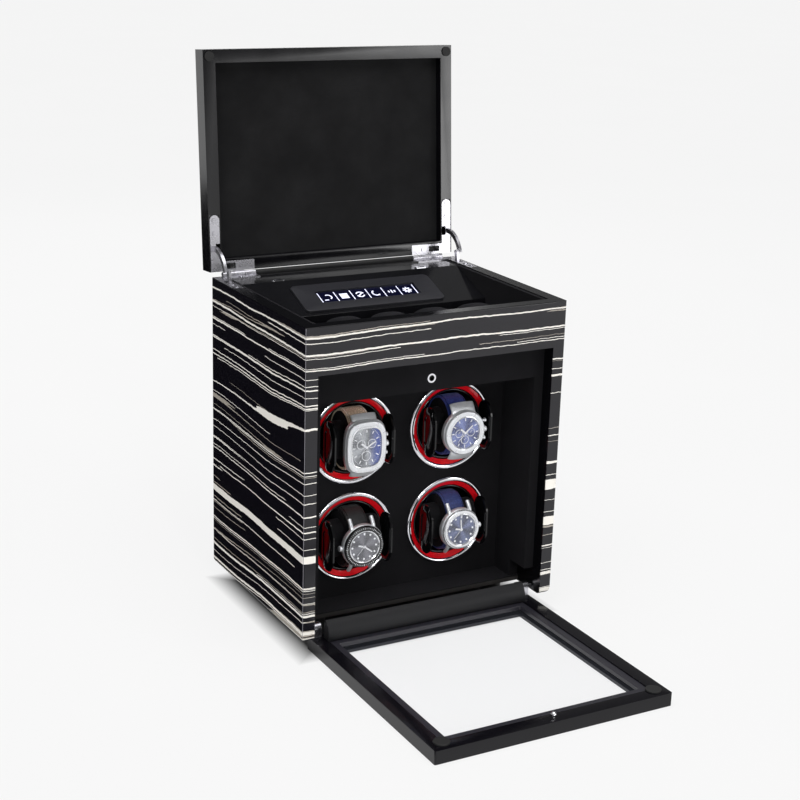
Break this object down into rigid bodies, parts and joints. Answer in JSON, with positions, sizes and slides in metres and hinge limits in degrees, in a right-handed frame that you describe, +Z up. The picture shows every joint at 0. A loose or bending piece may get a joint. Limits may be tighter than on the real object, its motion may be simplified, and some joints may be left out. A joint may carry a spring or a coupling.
{
  "type": "watch winder box",
  "caption": "Glossy veneered watch winder case with a lifting lid on quadrant stays, a fold-down glass door, turning cups with watches and a sloping display above cushions.",
  "frame": {"origin": "centre of the raised pad on the underside of the case, which stands on feet above the table", "axes": "+X to the right as seen from the front, +Y from the front to the back, +Z up"},
  "size_m": [0.26, 0.4518, 0.5081],
  "materials": {
    "case_veneer": "high-gloss lacquer over dark veneer",
    "black_lacquer": "high-gloss lacquer",
    "carcass_board": "plain board",
    "feet_rubber": "matt",
    "socket_plastic": "matt",
    "black_velvet": "velvet",
    "suede": "suede",
    "nickel": "bright nickel",
    "chrome": "polished",
    "red_gloss": "gloss",
    "console_gloss": "gloss",
    "bezel_satin": "satin",
    "screen": "printed display glass",
    "circuit_board": "matt",
    "cup_gloss": "gloss",
    "motor_steel": "brushed",
    "belt_rubber": "matt",
    "pulley_plastic": "matt",
    "cuff_suede": "suede",
    "watch_steel": "brushed and polished",
    "bumper_rubber": "matt",
    "door_gloss": "gloss",
    "bead_satin": "satin",
    "clear_glass": "clear",
    "sill_satin": "satin"
  },
  "bodies": {
    "case": {"left_side_panel": "case_veneer", "right_side_panel": "case_veneer", "front_header": "case_veneer", "base_board": "carcass_board", "feet": "feet_rubber", "back_panel": "case_veneer", "power_socket": "socket_plastic", "cavity_lining": "black_velvet", "storage_floor": "carcass_board", "storage_lining": "black_velvet", "door_stop_rail": "black_lacquer", "catch_socket": "chrome", "winder_panel": "black_velvet", "console_panel": "console_gloss", "display_bezel": "bezel_satin", "touch_screen": "screen", "control_board": "circuit_board", "console_clips": "chrome", "case_hinge_leaves": "nickel", "case_screws": "nickel", "dust_bead": "bumper_rubber", "mechanism_plate": "carcass_board", "gear_motors": "motor_steel", "drive_belts": "belt_rubber", "trim_rings": "chrome", "accent_rings": "red_gloss"},
    "lid": {"lid_shell": "black_lacquer", "lid_lining": "suede", "lid_hinge_leaves": "nickel", "stay_arms": "nickel", "lid_bumpers": "bumper_rubber", "lid_hinge_screws": "nickel"},
    "door": {"door_frame": "door_gloss", "glazing_bead": "bead_satin", "door_glass": "clear_glass", "door_sill": "sill_satin", "pivot_arms": "nickel", "catch_stud": "chrome", "door_bumpers": "bumper_rubber"},
    "winder_upper_left": {"winder_cup_upper_left": "cup_gloss"},
    "pulley_upper_left": {"motor_pulley_upper_left": "pulley_plastic"},
    "cuff_upper_left": {"watch_cuff_upper_left": "cuff_suede", "watch_upper_left": "watch_steel"},
    "winder_upper_right": {"winder_cup_upper_right": "cup_gloss"},
    "pulley_upper_right": {"motor_pulley_upper_right": "pulley_plastic"},
    "cuff_upper_right": {"watch_cuff_upper_right": "cuff_suede", "watch_upper_right": "watch_steel"},
    "winder_lower_left": {"winder_cup_lower_left": "cup_gloss"},
    "pulley_lower_left": {"motor_pulley_lower_left": "pulley_plastic"},
    "cuff_lower_left": {"watch_cuff_lower_left": "cuff_suede", "watch_lower_left": "watch_steel"},
    "winder_lower_right": {"winder_cup_lower_right": "cup_gloss"},
    "pulley_lower_right": {"motor_pulley_lower_right": "pulley_plastic"},
    "cuff_lower_right": {"watch_cuff_lower_right": "cuff_suede", "watch_lower_right": "watch_steel"},
    "cushion_body_1": {"cushion_1": "black_velvet"},
    "cushion_body_2": {"cushion_2": "black_velvet"},
    "cushion_body_3": {"cushion_3": "black_velvet"},
    "cushion_body_4": {"cushion_4": "black_velvet"},
    "cushion_body_5": {"cushion_5": "black_velvet"}
  },
  "joints": [
    {"name": "lid_hinge", "type": "hinge", "parent": "case", "child": "lid", "pos_m": [0, 0.1045, 0.28575], "axis": [-1, 0, 0], "range_deg": [-94.3, 0]},
    {"name": "door_hinge", "type": "hinge", "parent": "case", "child": "door", "pos_m": [0, -0.082, 0.0025], "axis": [1, 0, 0], "range_deg": [-90, 0]},
    {"name": "winder_spin_upper_left", "type": "hinge", "parent": "case", "child": "winder_upper_left", "pos_m": [-0.051, 0, 0.159], "axis": [0, 1, 0], "continuous": true},
    {"name": "pulley_spin_upper_left", "type": "hinge", "parent": "case", "child": "pulley_upper_left", "pos_m": [-0.051, 0.004, 0.125], "axis": [0, 1, 0], "continuous": true},
    {"name": "cuff_slide_upper_left", "type": "slide", "parent": "winder_upper_left", "child": "cuff_upper_left", "axis": [0, -1, 0], "range_m": [0, 0.06]},
    {"name": "winder_spin_upper_right", "type": "hinge", "parent": "case", "child": "winder_upper_right", "pos_m": [0.051, 0, 0.159], "axis": [0, 1, 0], "continuous": true},
    {"name": "pulley_spin_upper_right", "type": "hinge", "parent": "case", "child": "pulley_upper_right", "pos_m": [0.051, 0.004, 0.125], "axis": [0, 1, 0], "continuous": true},
    {"name": "cuff_slide_upper_right", "type": "slide", "parent": "winder_upper_right", "child": "cuff_upper_right", "axis": [0, -1, 0], "range_m": [0, 0.06]},
    {"name": "winder_spin_lower_left", "type": "hinge", "parent": "case", "child": "winder_lower_left", "pos_m": [-0.051, 0, 0.064], "axis": [0, 1, 0], "continuous": true},
    {"name": "pulley_spin_lower_left", "type": "hinge", "parent": "case", "child": "pulley_lower_left", "pos_m": [-0.051, 0.004, 0.03], "axis": [0, 1, 0], "continuous": true},
    {"name": "cuff_slide_lower_left", "type": "slide", "parent": "winder_lower_left", "child": "cuff_lower_left", "axis": [0, -1, 0], "range_m": [0, 0.06]},
    {"name": "winder_spin_lower_right", "type": "hinge", "parent": "case", "child": "winder_lower_right", "pos_m": [0.051, 0, 0.064], "axis": [0, 1, 0], "continuous": true},
    {"name": "pulley_spin_lower_right", "type": "hinge", "parent": "case", "child": "pulley_lower_right", "pos_m": [0.051, 0.004, 0.03], "axis": [0, 1, 0], "continuous": true},
    {"name": "cuff_slide_lower_right", "type": "slide", "parent": "winder_lower_right", "child": "cuff_lower_right", "axis": [0, -1, 0], "range_m": [0, 0.06]},
    {"name": "cushion_lift_1", "type": "slide", "parent": "case", "child": "cushion_body_1", "axis": [0, 0, 1], "range_m": [0, 0.05]},
    {"name": "cushion_lift_2", "type": "slide", "parent": "case", "child": "cushion_body_2", "axis": [0, 0, 1], "range_m": [0, 0.05]},
    {"name": "cushion_lift_3", "type": "slide", "parent": "case", "child": "cushion_body_3", "axis": [0, 0, 1], "range_m": [0, 0.05]},
    {"name": "cushion_lift_4", "type": "slide", "parent": "case", "child": "cushion_body_4", "axis": [0, 0, 1], "range_m": [0, 0.05]},
    {"name": "cushion_lift_5", "type": "slide", "parent": "case", "child": "cushion_body_5", "axis": [0, 0, 1], "range_m": [0, 0.05]}
  ],
  "couplings": [
    {"joint": "pulley_spin_upper_left", "follows": "winder_spin_upper_left", "ratio": 2.8},
    {"joint": "pulley_spin_upper_right", "follows": "winder_spin_upper_right", "ratio": 2.8},
    {"joint": "pulley_spin_lower_left", "follows": "winder_spin_lower_left", "ratio": 2.8},
    {"joint": "pulley_spin_lower_right", "follows": "winder_spin_lower_right", "ratio": 2.8}
  ]
}
